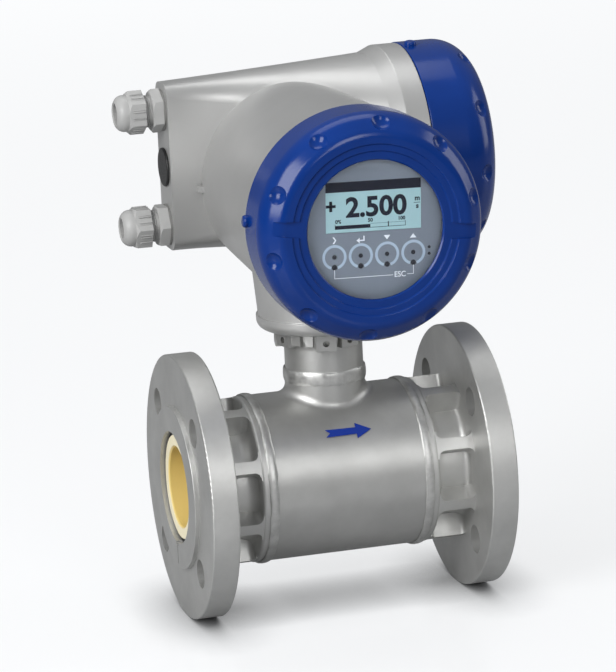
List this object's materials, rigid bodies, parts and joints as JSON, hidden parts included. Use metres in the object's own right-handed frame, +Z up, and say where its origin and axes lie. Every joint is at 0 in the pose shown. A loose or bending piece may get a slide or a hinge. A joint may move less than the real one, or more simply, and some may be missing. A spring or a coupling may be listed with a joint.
{
  "type": "electromagnetic flow meter",
  "caption": "Flanged electromagnetic flow meter with a ceramic measuring tube, a ribbed steel sensor body and a two-chamber converter with a round display window.",
  "frame": {"origin": "middle of the measuring tube on its axis", "axes": "+X along the flow from inlet to outlet, -Y towards the display, +Z up the neck"},
  "size_m": [0.2305, 0.2558, 0.3396],
  "materials": {
    "flange_steel": "bead blasted",
    "housing_steel": "bead blasted",
    "ceramic": "satin",
    "seal_rubber": "matt",
    "magnet_iron": "plain",
    "coil_winding": "enamelled",
    "electrode_metal": "polished",
    "lead_jacket": "matt",
    "housing_paint": "powder coated",
    "cover_paint": "gloss",
    "ring_metal": "plain",
    "panel_plastic": "satin",
    "screen": "clear",
    "lens_plastic": "smoked",
    "tray_plastic": "matt",
    "board_laminate": "lacquered",
    "screw_steel": "plated",
    "terminal_plastic": "matt",
    "gland_plastic": "satin",
    "plug_plastic": "satin",
    "window_glass": null
  },
  "bodies": {
    "meter": {"inlet_flange": "flange_steel", "outlet_flange": "flange_steel", "sensor_housing": "housing_steel", "neck_tube": "housing_steel", "measuring_tube": "ceramic", "inlet_tube_seal": "seal_rubber", "outlet_tube_seal": "seal_rubber", "neck_gasket": "seal_rubber", "plug_gasket": "seal_rubber", "upper_gland_washer": "seal_rubber", "lower_gland_washer": "seal_rubber", "upper_pole_shoe": "magnet_iron", "lower_pole_shoe": "magnet_iron", "coil_yoke": "magnet_iron", "upper_coil": "coil_winding", "lower_coil": "coil_winding", "electrode_back": "electrode_metal", "electrode_front": "electrode_metal", "sensor_leads": "lead_jacket", "converter_housing": "housing_paint", "display_panel": "panel_plastic", "lcd_module": "screen", "key_lenses": "lens_plastic", "status_lights": "lens_plastic", "display_tray": "tray_plastic", "electronics_frame": "tray_plastic", "display_board": "board_laminate", "main_board": "board_laminate", "power_board": "board_laminate", "tray_screws": "screw_steel", "terminal_screws": "screw_steel", "terminal_block": "terminal_plastic", "upper_gland_body": "gland_plastic", "lower_gland_body": "gland_plastic", "blanking_plug": "plug_plastic"},
    "front_cover_carrier": {"front_cover_seal": "seal_rubber"},
    "front_cover": {"front_cover": "cover_paint", "window_glass": "window_glass", "window_gasket": "seal_rubber", "window_retainer": "ring_metal"},
    "terminal_cover_carrier": {"terminal_cover_seal": "seal_rubber"},
    "terminal_cover": {"terminal_cover": "cover_paint"},
    "upper_gland_insert": {"upper_gland_seal": "seal_rubber"},
    "upper_gland_nut": {"upper_gland_nut": "gland_plastic"},
    "lower_gland_insert": {"lower_gland_seal": "seal_rubber"},
    "lower_gland_nut": {"lower_gland_nut": "gland_plastic"}
  },
  "joints": [
    {"name": "front_cover_travel", "type": "slide", "parent": "meter", "child": "front_cover_carrier", "axis": [0, -1, 0], "range_m": [0, 0.0121]},
    {"name": "front_cover_turn", "type": "hinge", "parent": "front_cover_carrier", "child": "front_cover", "pos_m": [0, -0.1, 0.17475], "axis": [0, -1, 0], "range_deg": [0, 2160]},
    {"name": "terminal_cover_travel", "type": "slide", "parent": "meter", "child": "terminal_cover_carrier", "axis": [1, 0, 0], "range_m": [0, 0.0121]},
    {"name": "terminal_cover_turn", "type": "hinge", "parent": "terminal_cover_carrier", "child": "terminal_cover", "pos_m": [0.09, 0.06, 0.1859], "axis": [1, 0, 0], "range_deg": [0, 2160]},
    {"name": "upper_gland_travel", "type": "slide", "parent": "meter", "child": "upper_gland_insert", "axis": [-1, 0, 0], "range_m": [0, 0.0046]},
    {"name": "upper_gland_turn", "type": "hinge", "parent": "upper_gland_insert", "child": "upper_gland_nut", "pos_m": [-0.1, 0.06, 0.226], "axis": [-1, 0, 0], "range_deg": [0, 1080]},
    {"name": "lower_gland_travel", "type": "slide", "parent": "meter", "child": "lower_gland_insert", "axis": [-1, 0, 0], "range_m": [0, 0.0046]},
    {"name": "lower_gland_turn", "type": "hinge", "parent": "lower_gland_insert", "child": "lower_gland_nut", "pos_m": [-0.1, 0.06, 0.1535], "axis": [-1, 0, 0], "range_deg": [0, 1080]}
  ],
  "couplings": [
    {"joint": "front_cover_travel", "follows": "front_cover_turn", "m_per_rad": 0.00031831},
    {"joint": "terminal_cover_travel", "follows": "terminal_cover_turn", "m_per_rad": 0.00031831},
    {"joint": "upper_gland_travel", "follows": "upper_gland_turn", "m_per_rad": 0.00023873},
    {"joint": "lower_gland_travel", "follows": "lower_gland_turn", "m_per_rad": 0.00023873}
  ]
}
